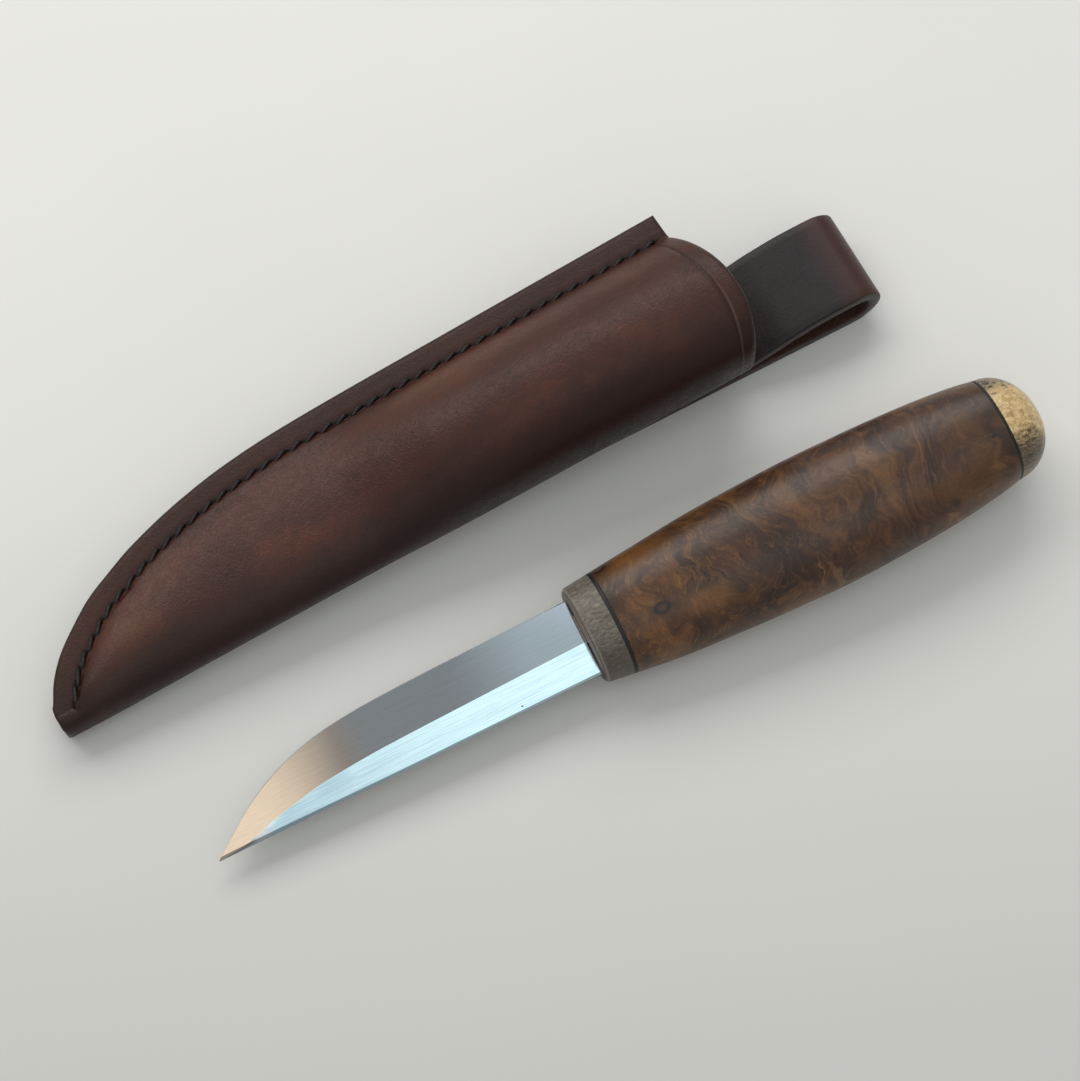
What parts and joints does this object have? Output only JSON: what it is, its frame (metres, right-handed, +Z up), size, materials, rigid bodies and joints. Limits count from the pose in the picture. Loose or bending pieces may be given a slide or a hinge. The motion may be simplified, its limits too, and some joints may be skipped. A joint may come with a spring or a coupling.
{
  "type": "whittling knife with sheath",
  "caption": "Whittling knife with a straight-edged steel blade, antler ends and a burl wood handle, lying beside its moulded leather sheath with a belt loop.",
  "frame": {"origin": "centre of the whole object's bounding box in X and Y, on the surface that the knife and the sheath lie on", "axes": "+X from the sheath's tip to its mouth, +Y from the knife to the sheath's stitched seam, +Z up from the surface"},
  "size_m": [0.2108, 0.089, 0.0328],
  "materials": {
    "steel": "satin ground flats, brighter lengthwise-ground bevels",
    "antler": "sanded and lightly polished reindeer antler, grey-brown to cream",
    "fibre": "black vulcanised fibre, sanded flush",
    "burl": "oiled burl wood, satin, with swirling brown and golden figure",
    "epoxy": "cured epoxy, hidden",
    "hide": "dark chestnut vegetable-tanned leather, fine grain, waxed, burnished edges",
    "welt_hide": "the same leather, seen only at the seam's edge",
    "thread": "black waxed linen thread"
  },
  "bodies": {
    "sheath": {"sheath_leather": "hide", "welt": "welt_hide", "seam_thread_front": "thread", "seam_thread_back": "thread", "belt_loop": "hide", "loop_thread": "thread"},
    "knife": {"blade": "steel", "bolster": "antler", "front_spacer": "fibre", "handle": "burl", "rear_spacer": "fibre", "butt_cap": "antler", "tang_bedding": "epoxy"}
  },
  "joints": [
    {"name": "knife_lift", "type": "slide", "parent": "sheath", "child": "knife", "axis": [0, 0, 1], "range_m": [0, 0.08]}
  ]
}
